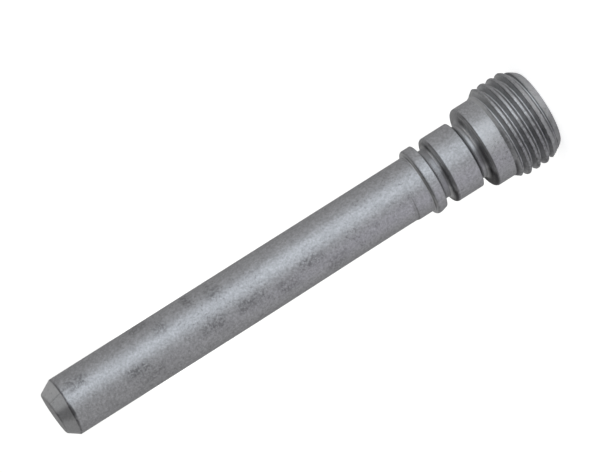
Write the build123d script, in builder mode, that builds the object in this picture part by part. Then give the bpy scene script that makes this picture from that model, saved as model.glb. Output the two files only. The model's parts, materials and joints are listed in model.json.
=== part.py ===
from build123d import *
import os
from math import cos, radians, tan

os.makedirs("parts", exist_ok=True)

# Brake pad pin: one turned steel piece that stands on the end face of its threaded head.
# The end face lies on Z = 0, and the shaft runs up +Z to its chamfered tip.

# Shaft, on which the brake pads hang and slide
shaft_diameter = 6.0
shaft_length = 41.6
tip_face_diameter = 4.56
tip_chamfer_length = 1.2

# Flange, clip groove, collar and neck groove, from the shaft down to the head
flange_height = 0.5
flange_width = 1.2
clip_groove_depth = 0.875
clip_groove_width = 1.05
collar_diameter = 7.05
collar_width = 3.05
neck_groove_depth = 0.625
neck_groove_width = 1.05
rim_radius = 0.3
groove_edge_chamfer = 0.25

# Head: a plain band, a short run-in cone, an M10 x 1 right-hand thread and an end chamfer
head_length = 7.6
head_band_relief = 0.05
thread_diameter = 9.86
thread_pitch = 1.0
thread_length = 5.65
run_in_length = 1.0
end_chamfer_length = 1.6
end_face_diameter = 7.72

# Hexagon socket in the head's end face
socket_across_flats = 5.0
socket_depth = 5.0
socket_mouth_margin = 0.16
socket_mouth_depth = 0.6
drill_point_angle = 118.0

# The flange stands proud of the shaft, and both grooves are cut in from the collar
flange_diameter = shaft_diameter + 2 * flange_height
clip_groove_diameter = collar_diameter - 2 * clip_groove_depth
neck_groove_diameter = collar_diameter - 2 * neck_groove_depth

# The socket's mouth is a cone that just clears the hexagon's corners
socket_mouth_diameter = socket_across_flats / cos(radians(30)) + 2 * socket_mouth_margin

# Heights of the steps above the end face
collar_foot = head_length + neck_groove_width
clip_groove_foot = collar_foot + collar_width
flange_foot = clip_groove_foot + clip_groove_width
shaft_foot = flange_foot + flange_width
tip_height = shaft_foot + shaft_length

# Thread form: flanks at 60 degrees, a crest flat of an eighth of the pitch, a narrow root flat
flank_slope = tan(radians(30))
root_depth = 0.6134 * thread_pitch
crest_gap = 0.875 * thread_pitch
root_flat = crest_gap - 2 * root_depth * flank_slope

# The head's band just clears the thread's root, so the thread ends on the run-in cone
head_band_diameter = thread_diameter - 2 * root_depth - head_band_relief

# The groove's tool stands proud of the crests, and groove and bar run past the thread's ends
groove_lip = 0.05 * thread_pitch
groove_overrun = thread_pitch
bar_overrun = 2 * groove_overrun

with BuildPart() as threaded_bar:
    with Locations((0, 0, -bar_overrun)):
        Cylinder(
            thread_diameter / 2,
            tip_height + 2 * bar_overrun,
            align=(Align.CENTER, Align.CENTER, Align.MIN),
        )
    with BuildLine() as helix:
        Helix(
            pitch=thread_pitch,
            height=thread_length + 2 * groove_overrun,
            radius=thread_diameter / 2,
            center=(0, 0, -groove_overrun),
        )
    groove_start = Plane(origin=helix.line @ 0, x_dir=(1, 0, 0), z_dir=helix.line % 0)
    with BuildSketch(groove_start):
        with BuildLine():
            lip_half_width = crest_gap / 2 + groove_lip * flank_slope
            Polyline(
                (groove_lip, -lip_half_width),
                (groove_lip, lip_half_width),
                (-root_depth, root_flat / 2),
                (-root_depth, -root_flat / 2),
                close=True,
            )
        make_face()
    sweep(path=helix.line, is_frenet=True, mode=Mode.SUBTRACT)

# Corners of the turned outline, from the end face up to the tip: radius, height, rounding
outline_corners = [
    (0, 0, 0),
    (end_face_diameter / 2, 0, 0),
    (thread_diameter / 2, end_chamfer_length, 0),
    (thread_diameter / 2, thread_length - run_in_length, 0),
    (head_band_diameter / 2, thread_length, 0),
    (head_band_diameter / 2, head_length, rim_radius),
    (neck_groove_diameter / 2, head_length, 0),
    (neck_groove_diameter / 2, collar_foot, 0),
    (collar_diameter / 2, collar_foot, rim_radius),
    (collar_diameter / 2, clip_groove_foot - groove_edge_chamfer, 0),
    (collar_diameter / 2 - groove_edge_chamfer, clip_groove_foot, 0),
    (clip_groove_diameter / 2, clip_groove_foot, 0),
    (clip_groove_diameter / 2, flange_foot, 0),
    (flange_diameter / 2 - groove_edge_chamfer, flange_foot, 0),
    (flange_diameter / 2, flange_foot + groove_edge_chamfer, 0),
    (flange_diameter / 2, shaft_foot, rim_radius),
    (shaft_diameter / 2, shaft_foot, 0),
    (shaft_diameter / 2, tip_height - tip_chamfer_length, 0),
    (tip_face_diameter / 2, tip_height, 0),
    (0, tip_height, 0),
]

with BuildPart() as pad_pin:
    with BuildSketch(Plane.XZ):
        with BuildLine():
            FilletPolyline(
                [(radius, height) for radius, height, rounding in outline_corners],
                radius=[rounding for radius, height, rounding in outline_corners],
                close=True,
            )
        make_face()
    revolve(axis=Axis.Z)
    # Only the head reaches the groove's depth, so the thread stays on the head alone
    add(threaded_bar.part, mode=Mode.INTERSECT)
    with BuildSketch(Plane.XY):
        RegularPolygon(socket_across_flats / 2, 6, major_radius=False)
    extrude(amount=socket_depth, mode=Mode.SUBTRACT)
    with Locations((0, 0, socket_depth)):
        Cone(
            socket_across_flats / 2,
            0,
            socket_across_flats / 2 / tan(radians(drill_point_angle / 2)),
            align=(Align.CENTER, Align.CENTER, Align.MIN),
            mode=Mode.SUBTRACT,
        )
    Cone(
        socket_mouth_diameter / 2,
        socket_mouth_diameter / 2 - socket_mouth_depth,
        socket_mouth_depth,
        align=(Align.CENTER, Align.CENTER, Align.MIN),
        mode=Mode.SUBTRACT,
    )
pad_pin.part.label = "pad_pin"
export_step(pad_pin.part, "parts/pad_pin.step")
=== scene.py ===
import bpy
import bmesh
import json
from math import atan2, ceil, cos, hypot, pi, radians, sin, sqrt, tan
from mathutils import Matrix, Vector, noise


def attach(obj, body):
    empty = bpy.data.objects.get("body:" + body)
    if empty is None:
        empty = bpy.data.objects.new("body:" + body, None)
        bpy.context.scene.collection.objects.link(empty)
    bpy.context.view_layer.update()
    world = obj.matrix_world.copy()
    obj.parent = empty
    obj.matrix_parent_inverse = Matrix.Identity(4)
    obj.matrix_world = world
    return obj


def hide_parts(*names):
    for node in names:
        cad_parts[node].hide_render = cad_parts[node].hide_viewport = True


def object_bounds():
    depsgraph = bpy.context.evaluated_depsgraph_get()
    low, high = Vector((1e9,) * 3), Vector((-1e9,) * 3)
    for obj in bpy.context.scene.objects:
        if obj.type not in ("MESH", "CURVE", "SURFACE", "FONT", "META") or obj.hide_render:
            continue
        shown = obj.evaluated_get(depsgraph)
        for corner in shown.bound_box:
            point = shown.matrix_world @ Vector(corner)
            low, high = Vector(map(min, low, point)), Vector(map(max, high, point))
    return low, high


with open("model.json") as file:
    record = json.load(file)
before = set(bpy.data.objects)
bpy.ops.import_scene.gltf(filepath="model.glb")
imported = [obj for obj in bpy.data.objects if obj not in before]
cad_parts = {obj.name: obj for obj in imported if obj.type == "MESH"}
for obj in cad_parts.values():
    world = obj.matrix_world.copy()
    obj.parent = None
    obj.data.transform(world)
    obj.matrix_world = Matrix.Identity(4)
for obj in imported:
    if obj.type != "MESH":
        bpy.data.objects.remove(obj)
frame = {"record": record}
cadLow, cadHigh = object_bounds()
mm = 0.001
mounts = {mount["name"]: mount for mount in frame["record"]["mounts"]}

cameraSide = radians(315)  # the way round the pin's axis to the camera
wornSide = cameraSide - pi / 2  # the side that the brake pads have worn


def ease(value, start, end):  # 0 at start, 1 at end, smooth between them
    share = min(max((value - start) / (end - start), 0), 1)
    return share * share * (3 - 2 * share)


# The pin's mesh is made in millimetres and brought to metres at the end. It stands on the
# head's end face, and the tip is at the top.

pinShape = {
    "columns": 144,  # a multiple of 6, so that columns fall on the socket's corners
    "height": cadHigh.z / mm,
    "tipChamfer": 1.2,
    "tipRadius": 2.21,
    "shaftRadius": mounts["shaft"]["dims"]["r_mm"],
    "shaftRings": 48,
    "shaftStretch": 20,  # a straight part longer than this is the shaft
    "longEdge": (0.7, 3),  # edges of the other turned parts over this length, and their cuts
    "flangeRadius": 3.5,
    "flangeWidth": 1.2,
    "clipMiddle": mounts["clip_groove"]["pos_m"][2] / mm,
    "clipWidth": mounts["clip_groove"]["dims"]["length_mm"],
    "clipRadius": mounts["clip_groove"]["dims"]["r_mm"],
    "collarRadius": 3.525,
    "neckMiddle": mounts["neck_groove"]["pos_m"][2] / mm,
    "neckWidth": mounts["neck_groove"]["dims"]["length_mm"],
    "neckRadius": mounts["neck_groove"]["dims"]["r_mm"],
    "bandRadius": 4.2916,
    "crestRadius": min(cadHigh.x, cadHigh.y, -cadLow.x, -cadLow.y) / mm,
    "pitch": 1.0,
    "rootDepth": 0.6134,
    "crestFlat": 0.3,
    "rootFlat": 0.14,
    "crestRounding": 0.09,
    "rootRounding": 0.055,
    "longFlank": (0.3, 4),  # flanks over this length, and their cuts
    "threadLength": mounts["head_thread"]["dims"]["length_mm"],
    "runIn": 0.88,
    "runInGap": 0.22,
    "endChamfer": 1.6,
    "endFaceRadius": 3.86,
    "endBulge": 0.14,
    "socketRadius": mounts["hex_socket"]["dims"]["r_mm"],  # to the flats
    "socketDepth": mounts["hex_socket"]["dims"]["length_mm"],
    "socketMouth": 3.05,
    "socketRounding": 0.04,
    "floorMargin": 0.02,
    "drillAngle": radians(118),
    "padWearLine": 15.78,
    "roundings": {  # of the corners below and above each part
        "band": 0.42,
        "neck": (0.48, 0.4),
        "collar": (0.06, 0.35),
        "clip": (0.36, 0.4),
        "flange": (0.06, 0.32),
        "shaft": (0.14, 0.06),
        "tip": 0.13,
    },
}

pinWear = {
    "tipSkew": tan(radians(2.8)),  # the tip's face is cut a little out of square
    "tipSkewSide": wornSide - radians(15),  # where it is lowest
    "footDrop": (0.18, 0.12, -0.06),  # the chamfer runs down: all round, near side, worn side
    "footReach": 2,
    "tipInside": 0.2,  # points further inside the tip's rim stay
    "padWear": 0.09,  # the brake pads have worn the shaft on one side, up to a step
    "padWearFoot": 15.8,
    "padWearTop": 36.0,
    "padWearStart": 0.4,  # above the shaft's foot, past its fillet
    "padWearStep": 0.15,
    "padWearHold": 2,
    "padWearSide": (-0.1, 0.75),
    "rimWear": 0.2,  # the flange's rim is worn round on the same side
    "rimWearHeight": (-0.2, 0.8),
    "rimWearSide": (0.1, 0.9),
    "rimWearReach": 0.5,
    "rimWearStart": 0.1,  # outside the shaft
    "crestWear": 0.035,
    "crestReach": 0.15,
    "crestStart": 0.2,  # above the end face
    "nickSizes": ((1.1, 1), (3.2, 0.5)),  # how fine the nicks are, and how deep
    "seed": 7.3,
}

merged = 0.002  # points closer than this are one
margin = 0.01  # play for points that lie on a part's edge


def pinFeet(shape):  # the height at which each part of the pin begins
    neck = shape["neckMiddle"] - shape["neckWidth"] / 2
    clip = shape["clipMiddle"] - shape["clipWidth"] / 2
    flange = clip + shape["clipWidth"]
    return {
        "endFace": 0,
        "band": shape["threadLength"],
        "neck": neck,
        "collar": neck + shape["neckWidth"],
        "clip": clip,
        "flange": flange,
        "shaft": flange + shape["flangeWidth"],
        "chamfer": shape["height"] - shape["tipChamfer"],
        "tip": shape["height"],
    }


def drawWire(bm, corners):
    # Corners are radius, height and rounding, joined by straight edges in the XZ plane.
    # A point held close beside each rounding keeps the straight parts evenly lit.
    hold = 0.03
    wire = [(Vector((radius, 0, height)), rounding) for radius, height, rounding in corners]
    points = [wire[0]]
    for (start, startRounding), (end, endRounding) in zip(wire, wire[1:]):
        along = end - start
        if along.length > startRounding + endRounding + 3 * hold:
            along.normalize()
            if startRounding:
                points.append((start + along * (startRounding + hold), 0))
            if endRounding:
                points.append((end - along * (endRounding + hold), 0))
        points.append((end, endRounding))
    vertices = [bm.verts.new(place) for place, rounding in points]
    for pair in zip(vertices, vertices[1:]):
        bm.edges.new(pair)
    for vertex, (place, rounding) in zip(vertices, points):
        if rounding:
            bmesh.ops.bevel(
                bm, geom=[vertex], offset=rounding, offset_type="OFFSET", segments=5,
                profile=0.5, affect="VERTICES", material=-1,
            )


def divideEdges(bm, longest, cuts):
    edges = [edge for edge in bm.edges if edge.calc_length() > longest]
    bmesh.ops.subdivide_edges(bm, edges=edges, cuts=cuts)


def limitRadius(bm, shape):
    # The end chamfer and the run-in cone cut the thread off
    crest, band, endFace = shape["crestRadius"], shape["bandRadius"], shape["endFaceRadius"]
    chamferSlope = (crest - endFace) / shape["endChamfer"]
    runInSlope = (crest - band) / shape["runIn"]
    for vertex in bm.verts:
        radius = hypot(vertex.co.x, vertex.co.y)
        chamfer = endFace + chamferSlope * vertex.co.z
        if 0 < vertex.co.z < shape["endChamfer"]:
            chamfer += shape["endBulge"] * sin(pi * sqrt(vertex.co.z / shape["endChamfer"]))
        runIn = band + runInSlope * (shape["threadLength"] - shape["runInGap"] - vertex.co.z)
        limit = min(chamfer, max(runIn, band))
        if radius > limit:
            vertex.co.x *= limit / radius
            vertex.co.y *= limit / radius


def trimRim(bm, height, side, columns, rimRadius):
    # Cuts the sheet square at a height. Odd points on the rim join their nearest column,
    # and the rim comes to the radius of the part that it meets.
    bmesh.ops.bisect_plane(
        bm, geom=bm.verts[:] + bm.edges[:] + bm.faces[:], dist=1e-5,
        plane_co=(0, 0, height), plane_no=(0, 0, side), clear_outer=True,
    )
    posts, strays = {}, []
    offColumn = 0.02
    for vertex in bm.verts:
        if abs(vertex.co.z - height) < 1e-4:
            turn = atan2(vertex.co.y, vertex.co.x) / (2 * pi) * columns
            post = round(turn) % columns
            if abs(turn - round(turn)) < offColumn and post not in posts:
                posts[post] = vertex
            else:
                strays.append((vertex, post))
    bmesh.ops.weld_verts(bm, targetmap={vertex: posts[post] for vertex, post in strays})
    for post, vertex in posts.items():
        turn = 2 * pi * post / columns
        vertex.co = (rimRadius * cos(turn), rimRadius * sin(turn), height)


def windThread(shape):
    # One pitch of the thread's outline, from root to root, wound right-handed up the axis
    bm = bmesh.new()
    pitch = shape["pitch"]
    crest = shape["crestRadius"]
    root = crest - shape["rootDepth"]
    foot = -2 * pitch
    drawWire(bm, [
        (root, foot, 0),
        (root, foot + shape["rootFlat"] / 2, shape["rootRounding"]),
        (crest, foot + (pitch - shape["crestFlat"]) / 2, shape["crestRounding"]),
        (crest, foot + (pitch + shape["crestFlat"]) / 2, shape["crestRounding"]),
        (root, foot + pitch - shape["rootFlat"] / 2, shape["rootRounding"]),
        (root, foot + pitch, 0),
    ])
    divideEdges(bm, *shape["longFlank"])
    bmesh.ops.spin(
        bm, geom=bm.verts[:] + bm.edges[:], cent=(0, 0, 0), axis=(0, 0, 1),
        dvec=(0, 0, pitch / shape["columns"]), angle=2 * pi, steps=shape["columns"],
    )
    firstTurn = bm.verts[:] + bm.edges[:] + bm.faces[:]
    for turn in range(1, ceil(shape["threadLength"] / pitch) + 2):
        nextTurn = bmesh.ops.duplicate(bm, geom=firstTurn)["geom"]
        lifted = [part for part in nextTurn if isinstance(part, bmesh.types.BMVert)]
        bmesh.ops.translate(bm, verts=lifted, vec=(0, 0, turn * pitch))
    bmesh.ops.remove_doubles(bm, verts=bm.verts, dist=merged)
    limitRadius(bm, shape)
    trimRim(bm, 0, -1, shape["columns"], shape["endFaceRadius"])
    trimRim(bm, shape["threadLength"], 1, shape["columns"], shape["bandRadius"])
    return bm


def turnBody(shape):
    # Everything above the thread, from the head's band up to the tip
    bm = bmesh.new()
    feet, roundings = pinFeet(shape), shape["roundings"]
    corners = [
        (shape["bandRadius"], feet["band"], 0),
        (shape["bandRadius"], feet["neck"], roundings["band"]),
    ]
    parts = ("neck", "collar", "clip", "flange", "shaft", "chamfer")
    for part, above in zip(parts, parts[1:]):
        below, over = roundings[part]
        corners.append((shape[part + "Radius"], feet[part], below))
        corners.append((shape[part + "Radius"], feet[above], over))
    corners.append((shape["tipRadius"], feet["tip"], roundings["tip"]))
    corners.append((0, feet["tip"], 0))
    drawWire(bm, corners)
    divideEdges(bm, shape["shaftStretch"], shape["shaftRings"])
    divideEdges(bm, *shape["longEdge"])
    spinFull(bm, shape["columns"])
    return bm


def turnSocket(shape):
    # The end face, and the hexagon socket that goes up into the head from it
    bm = bmesh.new()
    bore, mouth, depth = shape["socketRadius"], shape["socketMouth"], shape["socketDepth"]
    drawWire(bm, [
        (shape["endFaceRadius"], 0, 0),
        (mouth, 0, shape["socketRounding"]),
        (bore, mouth - bore, 0),
        (bore, depth, 0),
        (bore - shape["floorMargin"], depth, 0),
        (0, depth + bore / tan(shape["drillAngle"] / 2), 0),
    ])
    spinFull(bm, shape["columns"])
    for vertex in bm.verts:  # the round bore is pushed out to a hexagon
        if abs(hypot(vertex.co.x, vertex.co.y) - bore) < 1e-3:
            around = atan2(vertex.co.y, vertex.co.x) % (pi / 3) - pi / 6
            stretch = 1 / cos(around)
            vertex.co.x *= stretch
            vertex.co.y *= stretch
            if vertex.co.z < depth - 1e-3:
                vertex.co.z = mouth - bore * stretch
    return bm


def spinFull(bm, columns):
    bmesh.ops.spin(
        bm, geom=bm.verts[:] + bm.edges[:], cent=(0, 0, 0), axis=(0, 0, 1),
        angle=2 * pi, steps=columns, use_merge=True,
    )
    bmesh.ops.remove_doubles(bm, verts=bm.verts, dist=merged)


def wearPin(bm, shape, wear):
    feet = pinFeet(shape)
    worn = Vector((cos(wornSide), sin(wornSide), 0))
    near = Vector((cos(cameraSide), sin(cameraSide), 0))
    lowSide = Vector((cos(wear["tipSkewSide"]), sin(wear["tipSkewSide"]), 0))
    stepStart = wear["padWearFoot"] - wear["padWearStep"]
    stepEnd = wear["padWearFoot"] + wear["padWearStep"]
    holdEnd = wear["padWearFoot"] + wear["padWearHold"]
    rimStart, rimEnd = [feet["flange"] + height for height in wear["rimWearHeight"]]
    allRound, nearSide, onWornSide = wear["footDrop"]
    for vertex in bm.verts:
        place = vertex.co.copy()
        radius = hypot(place.x, place.y)
        facing = (place.x * worn.x + place.y * worn.y) / radius if radius > 1e-6 else 0
        cut = 0
        if feet["shaft"] + wear["padWearStart"] < place.z < feet["chamfer"] + margin:
            reach = ease(place.z, stepStart, stepEnd)
            reach *= 1 - ease(place.z, holdEnd, wear["padWearTop"])
            cut = wear["padWear"] * reach * ease(facing, *wear["padWearSide"])
        onFlange = feet["flange"] - margin < place.z < feet["shaft"] + margin
        if onFlange and radius > shape["shaftRadius"] + wear["rimWearStart"]:
            edge = 1 - ease(place.z, rimStart, rimEnd)
            reach = (radius - shape["shaftRadius"]) / wear["rimWearReach"]
            cut = wear["rimWear"] * edge * ease(facing, *wear["rimWearSide"]) * reach
        onCrest = radius > shape["crestRadius"] - wear["crestReach"]
        if wear["crestStart"] < place.z < shape["threadLength"] and onCrest:
            (broad, deep), (fine, shallow) = wear["nickSizes"]
            nick = deep * noise.noise(place * broad + Vector((0, 0, wear["seed"])))
            nick += shallow * noise.noise(place * fine)
            cut = wear["crestWear"] * max(nick, 0)
        if cut:
            vertex.co.x *= 1 - cut / radius
            vertex.co.y *= 1 - cut / radius
        overFoot = place.z - feet["chamfer"]
        onSkin = radius > shape["tipRadius"] - wear["tipInside"]
        if overFoot > -wear["footReach"] and onSkin:
            drop = allRound + nearSide * place.dot(near) / radius + onWornSide * facing
            reach = shape["tipChamfer"] if overFoot > 0 else wear["footReach"]
            vertex.co.z -= drop * max(1 - abs(overFoot) / reach, 0)
        if overFoot > margin:
            lean = shape["tipRadius"] + place.dot(lowSide)
            vertex.co.z -= overFoot / shape["tipChamfer"] * wear["tipSkew"] * lean


def joinMeshes(parts):
    whole = bmesh.new()
    for part in parts:
        mesh = bpy.data.meshes.new("part")
        part.to_mesh(mesh)
        part.free()
        whole.from_mesh(mesh)
        bpy.data.meshes.remove(mesh)
    bmesh.ops.remove_doubles(whole, verts=whole.verts, dist=merged)
    return whole


def makePin(shape, wear):
    bm = joinMeshes([windThread(shape), turnBody(shape), turnSocket(shape)])
    wearPin(bm, shape, wear)
    bmesh.ops.scale(bm, vec=(mm, mm, mm), verts=bm.verts)
    bmesh.ops.recalc_face_normals(bm, faces=bm.faces)
    openEdges = sum(1 for edge in bm.edges if not edge.is_manifold)
    mesh = bpy.data.meshes.new("turnedPin")
    bm.to_mesh(mesh)
    bm.free()
    for face in mesh.polygons:
        face.use_smooth = True
    mesh.set_sharp_from_angle(angle=radians(50))
    pin = bpy.data.objects.new("turnedPin", mesh)
    bpy.context.scene.collection.objects.link(pin)
    mesh.calc_loop_triangles()
    print("pin made:", len(mesh.loop_triangles), "triangles, open edges:", openEdges)
    return pin


# The steel's patterns, in millimetres. Fades and stripes say what they go by: the side towards
# wornSide or the camera (-1 to 1), how far a wall faces up the axis, the radius, the depth under
# the crests, or the height over the foot of a part of the pin.

steelFinish = {
    "dark": (0.185, 0.185, 0.192),
    "light": (0.33, 0.33, 0.342),
    "hollow": (0.44, 0.44, 0.45),  # painted light: lifts the thread's shaded flanks and roots, and paints pale highlights
    "bright": (0.85, 0.85, 0.86),  # painted light on the groove walls and the flange's top
    # specks, stains and dirt, and painted shade
    "grime": (0.03, 0.028, 0.03),
    "roughness": (0.42, 0.56),
    "roughnessTop": 1.4,
    "specularTint": (0.5, 0.5, 0.5, 1),
    "bumpDepth": 0.012,
    "grooveMargin": 0.05,
    "grooveSoftness": 0.06,
    "footSoftness": 0.13,
    "wearLine": (0.02, 0.07),  # half width and softness
    "patches": {  # scale, level and softness of a noise, and its stretch
        "grain": (4.2, 0.27, 0.46),
        "clouds": (0.3, 0.3, 0.4, (1, 1, 0.5)),
        "specks": (3.0, 0.55, 0.1),
        "speckFields": (0.3, 0.42, 0.2, (1, 1, 0.5)),
        "stains": (1.2, 0.6, 0.1, (1, 1, 0.6)),
        "stainFields": (0.22, 0.45, 0.2),
        "mottling": (1.1, 0.42, 0.3, (1, 1, 0.7)),
        "fineSpots": (3.4, 0.46, 0.1),
        "coarseSpots": (1.2, 0.5, 0.1),
        "crestPatches": (1.3, 0.42, 0.3, (1, 1, 0.8)),
        "crestGrime": (2.0, 0.45, 0.12, (1, 1, 0.8)),
        "crestFlecks": (1.7, 0.5, 0.12, (1, 1, 0.7)),
        "endChamfer": (0.9, 0.45, 0.15),
        "wallGrime": (0.5, 0.15, 0.4),
        "threadGrime": (0.7, 0.35, 0.4),
        "footWidth": (0.8, 0.4, 0.3),
        "footGrime": (0.7, 0.3, 0.35),
        "turning": (1.0, 0.3, 0.4, (0.02, 0.02, 9.0)),
    },
    "stripes": {  # what they go by, middle, half width and softness
        "bandLight": ("band", 0.95, 0.9, 0.3),
        "bandLightSide": ("worn", -0.08, 0.2, 0.3),
        "runIn": ("band", -0.55, 0.3, 0.1),
        "threadShine": ("worn", -0.2, 0.12, 0.25),
        "crestFlecks": ("worn", -0.15, 0.2, 0.3),
        "neckWall": ("neck", 0, 0.18, 0.1),
        "clipWall": ("clip", 0, 0.18, 0.1),
        "bandEdge": ("neck", -0.17, 0.09, 0.08),
        "collarEdge": ("clip", -0.19, 0.09, 0.07),
        "flangeEdge": ("shaft", -0.11, 0.04, 0.06),
        "flangeTop": ("shaft", 0.03, 0.08, 0.08),
        "neckLight": ("neck", 0.5, 0.06, 0.12),
        "neckShade": ("neck", 0.8, 0.08, 0.14),
        "neckFloor": ("neck", 0.3, 0.2, 0.2),
        "clipFloor": ("clip", 0.17, 0.06, 0.12),
        "floorGrime": ("worn", 0.34, 0.14, 0.3),
        "grimeSide": ("worn", 0.22, 0.1, 0.32),
        "threadGrime": ("worn", 0.4, 0.1, 0.4),
        "scratch": ("worn", -0.46, 0.008, 0.025),
        "chamferGrime": ("worn", 0.24, 0.06, 0.3),
    },
    "fades": {  # what they go by, from where to where, and between which values if not 0 and 1
        "tipFacing": ("upright", 0.15, 0.75),
        "nearHalf": ("near", -0.1, 0.15),
        "onShaft": ("shaft", -0.45, 0.55),
        "onThread": ("band", -0.7, -0.3, 1.0, 0.0),
        "belowCrest": ("crest", -0.06, -0.2),
        "root": ("crest", -0.4, -0.58),
        "rootSide": ("worn", 0.0, 0.35, 0.8, 0.2),
        "flankSide": ("worn", 0.0, 0.35, 0.8, 0.5),
        "runInSide": ("worn", 0.05, -0.2),
        "pastChamfer": ("endFace", 0.9, 1.5),
        "crestPatches": ("worn", 0.0, 0.35, 0.4, 0.9),
        "nearCrest": ("crest", -0.16, -0.1),
        "crestGrime": ("worn", -0.1, 0.25, 0.1, 0.42),
        "onEndChamfer": ("endFace", 1.5, 1.1),
        "headFacing": ("upright", -0.02, -0.2),
        "endChamferSide": ("worn", -0.3, 0.3, 0.25, 0.0),
        "insideRim": ("radius", 4.25, 3.9),
        "cleanHalf": ("worn", 0.1, -0.2, 0.35, 1.0),
        "cleanWall": ("upright", 0.3, 0.7),
        "cleanStart": ("worn", -0.88, -0.58),
        "cleanEnd": ("worn", 0.72, 0.6),
        "cornerFacing": ("upright", 0.1, 0.5),
        "cornerSide": ("worn", 0.55, 0.75),
        "cornerDepth": ("radius", 3.5, 3.1),
        "flangeEdge": ("near", 0.6, 0.9),
        "edgeFacing": ("upright", 0.0, 0.25),
        "edgeStart": ("worn", -0.94, -0.7),
        "edgeSide": ("worn", 0.5, 0.75, 0.66, 0.35),
        "flangeTop": ("upright", 0.1, 0.5),
        "pastShaft": ("radius", 3.0, 3.03),
        "flangeNear": ("near", 0.6, 0.85),
        "flangeSide": ("worn", 0.4, -0.4, 0.5, 0.8),
        "dullGroove": ("upright", 0.6, 0.2),
        "outerSide": ("worn", 0.66, 0.8),
        "outerRadius": ("radius", 2.8, 3.4, 0.35, 1.0),
        "belowFlange": ("flange", 0.15, -0.05),
        "wallGrime": ("flange", 0.15, -0.05, 0.22, 0.32),
        "belowShaft": ("shaft", 1.05, 0.55),
        "threadGrime": ("endFace", 0.9, 1.5, 0.05, 0.18),
        "footGrime": ("worn", -0.15, 0.05, 0.6, 0.78),
        "wearLine": ("worn", 0.15, 0.4),
        "onChamfer": ("chamfer", 0.05, 0.15),
        "pastTipFace": ("radius", 2.05, 2.2),
        "chamferSide": ("worn", 0.1, -0.1, 0.4, 1.0),
    },
    "shares": {
        "clouds": 0.2, "specks": 0.45, "stains": 0.25, "mottling": 0.45,
        "coarseSpots": 0.4, "spots": 0.8, "bandLight": 0.3, "runIn": 0.7,
        "threadShine": 0.45, "crestFlecks": 0.8, "endChamfer": 0.7,
        "cleanWall": 0.9, "cleanCorner": 0.35, "flangeEdge": 0.6, "flangeTop": 0.6,
        "neckLight": 0.35, "neckShade": 0.2, "clipFloor": 0.8, "floorGrime": 0.55,
        "dullGroove": 0.9, "outerSide": 0.85, "footWidth": 0.1, "footPatches": 0.08,
        "wearLine": 0.3, "scratch": 0.25, "chamferGrime": 0.32,
        "grainDullness": 0.6, "grimeDullness": 0.6, "turningElsewhere": 0.08,
        "turningRelief": 0.4, "darkRelief": 0.8,
    },
    "spots": [  # places with more specks: height, side towards the worn side, size, strength
        (52.2, -0.45, 1.0, 0.6), (46.7, 0.27, 1.1, 0.6), (45.6, 0.6, 1.2, 0.4),
        (42.9, -0.5, 0.6, 0.5), (44.6, -0.95, 1.0, 0.5), (38.4, 0.33, 1.2, 0.6),
        (39.3, -0.78, 0.4, 0.6), (36.8, -0.55, 0.7, 0.5), (34.3, 0.33, 1.2, 0.55),
        (30.2, 0.5, 1.0, 0.5), (27.3, 0.25, 1.2, 0.55), (25.0, 0.7, 0.9, 0.45),
    ],
    "spotCore": 0.6,  # the share of a spot's size that has its full strength
    "spotSide": (0.08, 0.2),  # half width and softness round the pin
}


def addNode(tree, kind, inputs=None, **settings):
    node = tree.nodes.new(kind)
    for name, value in settings.items():
        setattr(node, name, value)
    for name, value in (inputs or {}).items():
        if isinstance(value, bpy.types.NodeSocket):
            tree.links.new(value, node.inputs[name])
        else:
            node.inputs[name].default_value = value
    return node


def mathNode(tree, operation, first, second=0.0, clamp=False):
    return addNode(tree, "ShaderNodeMath", {0: first, 1: second}, operation=operation,
                   use_clamp=clamp).outputs[0]


def rampNode(tree, value, low, high, start=0.0, end=1.0):  # smooth from start to end
    return addNode(tree, "ShaderNodeMapRange", {
        "Value": value, "From Min": low, "From Max": high, "To Min": start, "To Max": end,
    }, interpolation_type="SMOOTHSTEP").outputs["Result"]


def newGroup(name, inputs, outputs):
    tree = bpy.data.node_groups.new(name, "ShaderNodeTree")
    for socket, kind in inputs:
        tree.interface.new_socket(socket, in_out="INPUT", socket_type=kind)
    for socket in outputs:
        tree.interface.new_socket(socket, in_out="OUTPUT", socket_type="NodeSocketFloat")
    inside = tree.nodes.new("NodeGroupInput").outputs
    outside = tree.nodes.new("NodeGroupOutput").inputs
    return tree, inside, outside


vector = "NodeSocketVector"
number = "NodeSocketFloat"


def makePatches():
    # Patches of a noise above a level, such as stains, specks and rubbed places
    tree, inside, outside = newGroup("patches", [
        ("Vector", vector), ("Stretch", vector), ("Scale", number),
        ("Level", number), ("Softness", number),
    ], ["Mask"])
    stretched = addNode(tree, "ShaderNodeVectorMath", {
        0: inside["Vector"], 1: inside["Stretch"],
    }, operation="MULTIPLY").outputs[0]
    field = addNode(tree, "ShaderNodeTexNoise", {
        "Vector": stretched, "Scale": inside["Scale"], "Detail": 4.0, "Roughness": 0.75,
    }).outputs["Fac"]
    top = mathNode(tree, "ADD", inside["Level"], inside["Softness"])
    tree.links.new(rampNode(tree, field, inside["Level"], top), outside["Mask"])
    return tree


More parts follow.
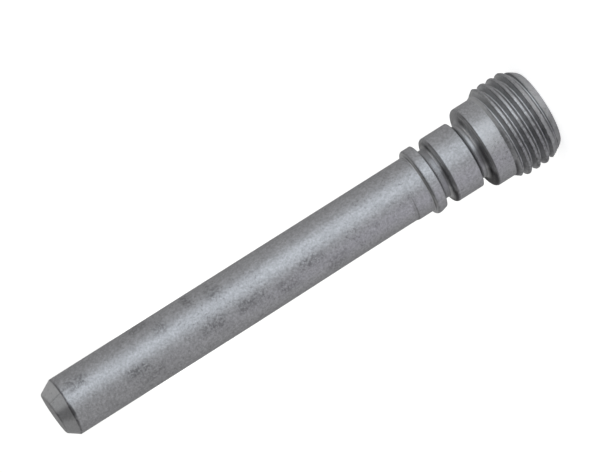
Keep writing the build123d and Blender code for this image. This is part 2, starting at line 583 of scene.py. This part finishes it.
def makeSurface():
    # Where a point lies on the pin: height and radius, and how it faces a direction
    tree, inside, outside = newGroup("pinSurface", [
        ("Vector", vector), ("Direction", vector),
    ], ["Height", "Radius", "Facing"])
    flat = addNode(tree, "ShaderNodeVectorMath", {
        0: inside["Vector"], 1: (1, 1, 0),
    }, operation="MULTIPLY").outputs[0]
    radius = addNode(tree, "ShaderNodeVectorMath", {0: flat}, operation="LENGTH").outputs["Value"]
    along = addNode(tree, "ShaderNodeVectorMath", {
        0: flat, 1: inside["Direction"],
    }, operation="DOT_PRODUCT").outputs["Value"]
    split = addNode(tree, "ShaderNodeSeparateXYZ", {0: inside["Vector"]})
    tree.links.new(split.outputs["Z"], outside["Height"])
    tree.links.new(radius, outside["Radius"])
    facing = mathNode(tree, "DIVIDE", along, mathNode(tree, "MAXIMUM", radius, 0.01))
    tree.links.new(facing, outside["Facing"])
    return tree


def makeBand():
    # 1 within a half width of a middle, fading to 0 over the softness
    tree, inside, outside = newGroup("band", [
        ("Value", number), ("Middle", number), ("Half Width", number), ("Softness", number),
    ], ["Mask"])
    away = mathNode(tree, "ABSOLUTE", mathNode(tree, "SUBTRACT", inside["Value"], inside["Middle"]))
    edge = mathNode(tree, "ADD", inside["Half Width"], inside["Softness"])
    tree.links.new(rampNode(tree, away, inside["Half Width"], edge, 1.0, 0.0), outside["Mask"])
    return tree


def makeSteel(shape, wear, finish):
    patches, surface, band = makePatches(), makeSurface(), makeBand()
    material = bpy.data.materials.new("satinSteel")
    material.use_nodes = True
    tree = material.node_tree
    shader = tree.nodes["Principled BSDF"]
    coordinates = addNode(tree, "ShaderNodeTexCoord")
    place = addNode(tree, "ShaderNodeMapping", {
        "Vector": coordinates.outputs["Object"], "Scale": (1 / mm, 1 / mm, 1 / mm),
    }).outputs[0]
    facingUp = addNode(tree, "ShaderNodeSeparateXYZ", {0: coordinates.outputs["Normal"]})

    def onPin(azimuth):
        return addNode(tree, "ShaderNodeGroup", {
            "Vector": place, "Direction": (cos(azimuth), sin(azimuth), 0),
        }, node_tree=surface).outputs

    pinPlace = onPin(wornSide)
    height, radius, wornFacing = pinPlace["Height"], pinPlace["Radius"], pinPlace["Facing"]
    nearFacing = onPin(cameraSide)["Facing"]
    feet = pinFeet(shape)
    measures = {  # what fades and stripes go by, and where it counts from
        "upright": (facingUp.outputs["Z"], 0),
        "worn": (wornFacing, 0),
        "near": (nearFacing, 0),
        "radius": (radius, 0),
        "crest": (radius, shape["crestRadius"]),
        **{part: (height, foot) for part, foot in feet.items()},
    }
    share = finish["shares"]

    def patch(name):
        scale, level, softness, *stretch = finish["patches"][name]
        return addNode(tree, "ShaderNodeGroup", {
            "Vector": place, "Stretch": stretch[0] if stretch else (1, 1, 1),
            "Scale": scale, "Level": level, "Softness": softness,
        }, node_tree=patches).outputs["Mask"]

    def bandNode(value, middle, halfWidth, softness):
        return addNode(tree, "ShaderNodeGroup", {
            "Value": value, "Middle": middle, "Half Width": halfWidth, "Softness": softness,
        }, node_tree=band).outputs["Mask"]

    def stripe(name):
        measure, middle, halfWidth, softness = finish["stripes"][name]
        value, zero = measures[measure]
        return bandNode(value, zero + middle, halfWidth, softness)

    def fade(name):
        measure, low, high, *ends = finish["fades"][name]
        value, zero = measures[measure]
        return rampNode(tree, value, zero + low, zero + high, *ends)

    def combine(operation, *masks):
        result = masks[0]
        for mask in masks[1:]:
            result = mathNode(tree, operation, result, mask)
        return result

    def times(*masks):
        return combine("MULTIPLY", *masks)

    def anyOf(*masks):
        return combine("MAXIMUM", *masks)

    def blend(first, second, mask):
        return addNode(tree, "ShaderNodeMix", {
            "Factor": mask, "A": first, "B": second,
        }, data_type="RGBA").outputs["Result"]

    # Specks, stains and spots keep together in places, over grain of every size
    grain = patch("grain")
    onShaft, nearHalf, tipFacing = fade("onShaft"), fade("nearHalf"), fade("tipFacing")
    specks = times(patch("specks"), patch("speckFields"))
    stains = times(patch("stains"), patch("stainFields"))
    mottling = times(patch("mottling"), onShaft, share["mottling"])
    spots = [
        times(
            bandNode(height, spot, size * finish["spotCore"], size),
            bandNode(wornFacing, side, *finish["spotSide"]), strength,
        )
        for spot, side, size, strength in finish["spots"]
    ]
    spotGrain = anyOf(patch("fineSpots"), times(patch("coarseSpots"), share["coarseSpots"]))
    spots = times(anyOf(*spots), spotGrain, nearHalf)
    dark = mathNode(
        tree, "ADD", anyOf(times(specks, share["specks"]), times(spots, share["spots"])),
        times(stains, onShaft, share["stains"]), clamp=True,
    )

    # The thread: painted light on the flanks and roots, less on the worn side, and painted
    # highlights on the crests; dark patches on the crests, more on the worn side
    onThread, pastChamfer = fade("onThread"), fade("pastChamfer")
    flank = times(onThread, fade("belowCrest"), pastChamfer)
    # Dark patches on the crests: partly real patches, partly painted shade that grows on the worn
    # side
    crestPatches = times(onThread, patch("crestPatches"), fade("crestPatches"))
    # Painted highlight: a shine and flecks on the thread, on the side away from the worn side
    threadShine = times(onThread, stripe("threadShine"), share["threadShine"])
    crestFlecks = times(
        onThread, patch("crestFlecks"), stripe("crestFlecks"), share["crestFlecks"],
    )
    # Dark patches near the crests: dirt, and painted shade that grows on the worn side
    crestGrime = times(
        times(onThread, fade("nearCrest"), pastChamfer), patch("crestGrime"), fade("crestGrime"),
    )
    endChamfer = times(fade("onEndChamfer"), fade("headFacing"), anyOf(
        fade("endChamferSide"), times(patch("endChamfer"), share["endChamfer"]),
    ))
    # Painted shade on the thread's worn side, in patches
    threadGrime = times(
        onThread, stripe("threadGrime"), patch("threadGrime"), fade("threadGrime"),
    )

    # The two grooves: painted light on the walls and their corners, painted shade on the floors and
    # at the edges, and a painted highlight on the neck's floor
    inGroove = times(anyOf(*[
        bandNode(height, shape[middle], shape[width] / 2 + finish["grooveMargin"],
                 finish["grooveSoftness"])
        for middle, width in (("neckMiddle", "neckWidth"), ("clipMiddle", "clipWidth"))
    ]), fade("insideRim"))
    onWall = anyOf(stripe("neckWall"), stripe("clipWall"))
    # Painted light on the groove walls that face the tip, and in their corners on the worn side
    cleanWall = times(
        onWall, fade("cleanWall"), fade("cleanHalf"), fade("cleanStart"), fade("cleanEnd"),
    )
    cleanCorner = times(
        onWall, fade("cornerFacing"), fade("cornerSide"), fade("cornerDepth"),
        share["cleanCorner"],
    )
    flangeEdge = times(stripe("flangeEdge"), fade("flangeEdge"), share["flangeEdge"])
    # Painted shade on the rounded edges of the band, collar and flange where they face the tip, and
    # on the flange's edge towards the camera
    edgeShade = times(
        anyOf(stripe("bandEdge"), stripe("collarEdge"), flangeEdge),
        fade("edgeFacing"), fade("edgeStart"), fade("edgeSide"),
    )
    flangeTop = times(stripe("flangeTop"), fade("flangeTop"), fade("pastShaft"))
    # Painted highlight across the neck's floor, and painted shade beside it
    neckLight = times(stripe("neckLight"), inGroove)
    neckShade = times(stripe("neckShade"), inGroove, share["neckShade"])
    # Painted shade on the groove floors beside the walls, on the worn side
    floorGrime = times(
        anyOf(stripe("neckFloor"), times(stripe("clipFloor"), share["clipFloor"])),
        inGroove, stripe("floorGrime"), nearHalf, share["floorGrime"],
    )
    # Painted shade in the grooves, where the faces don't face the tip
    dullGroove = times(inGroove, fade("dullGroove"), share["dullGroove"])

    # Painted shade, partly in patches, where walls face the tip on the worn side
    grimeSide = stripe("grimeSide")
    outerSide = times(fade("outerSide"), fade("belowFlange"), fade("outerRadius"))
    wallGrime = times(tipFacing, anyOf(
        times(grimeSide, patch("wallGrime"), fade("wallGrime")),
        times(outerSide, share["outerSide"]),
    ))
    wallGrime = times(
        wallGrime, mathNode(tree, "SUBTRACT", 1.0, onThread), fade("belowShaft"),
    )
    wearLine = times(
        bandNode(height, shape["padWearLine"], *finish["wearLine"]),
        fade("wearLine"), nearHalf, share["wearLine"],
    )

    # The tip's chamfer, whose foot drops as wearPin drops it
    allRound, nearSide, onWornSide = wear["footDrop"]
    dropped = mathNode(
        tree, "ADD", mathNode(tree, "ADD", height, allRound),
        mathNode(tree, "ADD", times(nearFacing, nearSide), times(wornFacing, onWornSide)),
    )
    measures["chamfer"] = (dropped, feet["chamfer"])
    footWidth = mathNode(
        tree, "ADD", times(grimeSide, share["footWidth"]),
        times(patch("footWidth"), share["footPatches"]),
    )
    # A dark line along the chamfer's foot, wider and stronger on the worn side
    footGrime = times(
        bandNode(dropped, feet["chamfer"], footWidth, finish["footSoftness"]),
        anyOf(patch("footGrime"), grimeSide), fade("footGrime"),
    )
    onChamfer = times(fade("onChamfer"), fade("pastTipFace"))
    scratch = times(onChamfer, nearHalf, stripe("scratch"), share["scratch"])
    # Painted shade on the tip chamfer, towards the worn side
    chamferGrime = times(onChamfer, stripe("chamferGrime"), nearHalf, share["chamferGrime"])

    # Each coat is a colour and where it lies on the ones before it
    # Painted shade, with the dirt, the pads' wear line and a scratch
    grime = anyOf(
        wallGrime, edgeShade, neckShade, floorGrime, threadGrime, crestGrime, footGrime,
        wearLine, scratch, chamferGrime,
    )
    # Painted light: the thread's flanks and roots lifted out of their shade, less on the worn side,
    # and painted highlights on the head's band, the run-in and the tip chamfer, away from the worn
    # side
    liftedLight = anyOf(
        times(flank, fade("flankSide")),
        times(fade("root"), onThread, fade("rootSide")),
        times(times(stripe("bandLight"), stripe("bandLightSide")), share["bandLight"]),
        times(stripe("runIn"), fade("runInSide"), share["runIn"]),
        times(onChamfer, fade("chamferSide")),
    )
    # Painted highlights: a streak on the neck's floor, a shine and flecks on the thread, and the
    # flange's top
    paintedShine = anyOf(
        times(neckLight, share["neckLight"]), threadShine, crestFlecks,
        times(flangeTop, share["flangeTop"]),
    )
    # Painted light, near white, on the groove walls and on the flange's top towards the camera
    paintedBright = anyOf(
        times(cleanWall, share["cleanWall"]), cleanCorner,
        times(flangeTop, fade("flangeNear"), fade("flangeSide")),
    )
    colour = (*finish["dark"], 1)
    for coat, mask in (
        ("light", grain),
        ("dark", anyOf(times(patch("clouds"), share["clouds"]), mottling)),
        ("hollow", liftedLight),
        ("dark", anyOf(crestPatches, endChamfer, dullGroove)),
        ("hollow", paintedShine),
        ("bright", paintedBright),
        ("grime", dark),
        ("grime", grime),
    ):
        colour = blend(colour, (*finish[coat], 1), mask)
    tree.links.new(colour, shader.inputs["Base Color"])

    smooth, rough = finish["roughness"]
    dull = mathNode(
        tree, "ADD", times(grain, share["grainDullness"]),
        anyOf(dark, flank, times(grime, share["grimeDullness"])),
    )
    roughness = rampNode(tree, dull, 0.0, finish["roughnessTop"], smooth, rough)
    tree.links.new(roughness, shader.inputs["Roughness"])
    turning = times(patch("turning"), anyOf(inGroove, onThread, share["turningElsewhere"]))
    relief = mathNode(tree, "ADD", grain, times(turning, share["turningRelief"]))
    relief = mathNode(tree, "SUBTRACT", relief, times(dark, share["darkRelief"]))
    bump = addNode(tree, "ShaderNodeBump", {
        "Height": relief, "Distance": finish["bumpDepth"] * mm, "Strength": 1.0,
    })
    tree.links.new(bump.outputs["Normal"], shader.inputs["Normal"])
    shader.inputs["Metallic"].default_value = 1
    shader.inputs["Specular Tint"].default_value = finish["specularTint"]
    return material


# The studio's lamps give the way round from the camera's side, the distance from the pin's
# axis and the height, the size, the height that they aim at, the brightness where the white
# background is 1, and the colour

studio = {
    "distance": 0.4018,
    "elevation": radians(9.35),
    "middle": 26.04 * mm,  # the height on the pin's axis that the camera faces
    "shift": (-1.2576 * mm, 1.296 * mm),  # to the right and up, which centres the pin in view
    "roll": radians(32.27),
    "lens": 252,
    "sensor": 36,
    "floorSize": 8,
    "floorLift": 0.6,
    "floorColour": (0.9, 0.9, 0.9, 1),
    "worldColour": (1, 1, 0.985, 1),
    "ambient": 0.71,
    "overhead": 0.235,
    "overheadRise": (0.6, 0.9),
    "lamps": {
        "softbox": (radians(22), 0.35, 0.06, (0.3, 0.12), 0.03, 3.2, (0.84, 0.93, 1.0)),
        "lowStrip": (radians(22), 0.105, 0.004, (0.065, 0.18), 2.0, 1.6, (0.84, 0.93, 1.0)),
        "fill": (radians(-62), 0.06, 0.006, (0.05, 0.012), 0.006, 1.3, (0.78, 0.74, 1.0)),
        "back": (pi, 0.4, 0.12, (0.5, 0.2), 0.03, 0.6, (1, 1, 1)),
    },
}


def whiteToSight(tree):
    # 1 where the camera, a reflection or a refraction looks, and 0 for scattered light
    path = addNode(tree, "ShaderNodeLightPath")
    seen = path.outputs["Is Camera Ray"]
    for ray in ("Is Glossy Ray", "Is Transmission Ray"):
        seen = mathNode(tree, "MAXIMUM", seen, path.outputs[ray])
    return seen


def makeFloor(settings):
    bm = bmesh.new()
    bmesh.ops.create_grid(bm, x_segments=1, y_segments=1, size=settings["floorSize"] / 2)
    mesh = bpy.data.meshes.new("floor")
    bm.to_mesh(mesh)
    bm.free()
    floor = bpy.data.objects.new("floor", mesh)
    bpy.context.scene.collection.objects.link(floor)
    material = bpy.data.materials.new("paleFloor")
    material.use_nodes = True
    tree = material.node_tree
    shader = tree.nodes["Principled BSDF"]
    shader.inputs["Base Color"].default_value = settings["floorColour"]
    shader.inputs["Roughness"].default_value = 1
    shader.inputs["Specular IOR Level"].default_value = 0
    shader.inputs["Emission Color"].default_value = (1, 1, 1, 1)
    lift = mathNode(tree, "MULTIPLY", whiteToSight(tree), settings["floorLift"])
    tree.links.new(lift, shader.inputs["Emission Strength"])
    mesh.materials.append(material)


def makeWorld(settings):
    world = bpy.data.worlds.new("studioWorld")
    bpy.context.scene.world = world
    world.use_nodes = True
    world.cycles.sampling_method = "NONE"
    # Pale all round, and darker straight overhead
    tree = world.node_tree
    way = addNode(tree, "ShaderNodeTexCoord").outputs["Generated"]
    rise = addNode(tree, "ShaderNodeSeparateXYZ", {0: way}).outputs["Z"]
    background = tree.nodes["Background"]
    background.inputs["Color"].default_value = settings["worldColour"]
    strength = rampNode(
        tree, rise, *settings["overheadRise"], settings["ambient"], settings["overhead"],
    )
    tree.links.new(strength, background.inputs["Strength"])


def makeLamp(name, side, distance, height, size, aim, level, colour):
    azimuth = cameraSide + side
    data = bpy.data.lights.new(name, "AREA")
    data.shape = "RECTANGLE"
    data.size, data.size_y = size
    data.energy = level * pi * size[0] * size[1]
    data.color = colour
    lamp = bpy.data.objects.new(name, data)
    lamp.location = (distance * cos(azimuth), distance * sin(azimuth), height)
    towards = Vector((0, 0, aim)) - lamp.location
    lamp.rotation_euler = towards.to_track_quat("-Z", "Y").to_euler()
    lamp.visible_camera = False
    bpy.context.scene.collection.objects.link(lamp)


def makeCamera(settings):
    rise = settings["elevation"]
    toCamera = Vector((cos(cameraSide) * cos(rise), sin(cameraSide) * cos(rise), sin(rise)))
    upright = Vector((0, 0, 1)) - toCamera * toCamera.z
    upright.normalize()
    across = toCamera.cross(upright)
    # The pin lies aslant in view: its tip points down to the left
    right = across * sin(settings["roll"]) - upright * cos(settings["roll"])
    up = toCamera.cross(right)
    data = bpy.data.cameras.new("camera")
    data.lens = settings["lens"]
    data.sensor_width = settings["sensor"]
    camera = bpy.data.objects.new("camera", data)
    bpy.context.scene.collection.objects.link(camera)
    place = Vector((0, 0, settings["middle"])) + toCamera * settings["distance"]
    place += right * settings["shift"][0] + up * settings["shift"][1]
    turn = Matrix((right, up, toCamera)).transposed()
    camera.matrix_world = Matrix.Translation(place) @ turn.to_4x4()
    bpy.context.scene.camera = camera


pin = makePin(pinShape, pinWear)
pin.data.materials.append(makeSteel(pinShape, pinWear, steelFinish))
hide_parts("pad_pin")
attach(pin, "root")
print("steel laid on")

makeFloor(studio)
makeWorld(studio)
for lampName, lamp in studio["lamps"].items():
    makeLamp(lampName, *lamp)
makeCamera(studio)
scene = bpy.context.scene
scene.view_settings.view_transform = "Standard"
print("studio set")
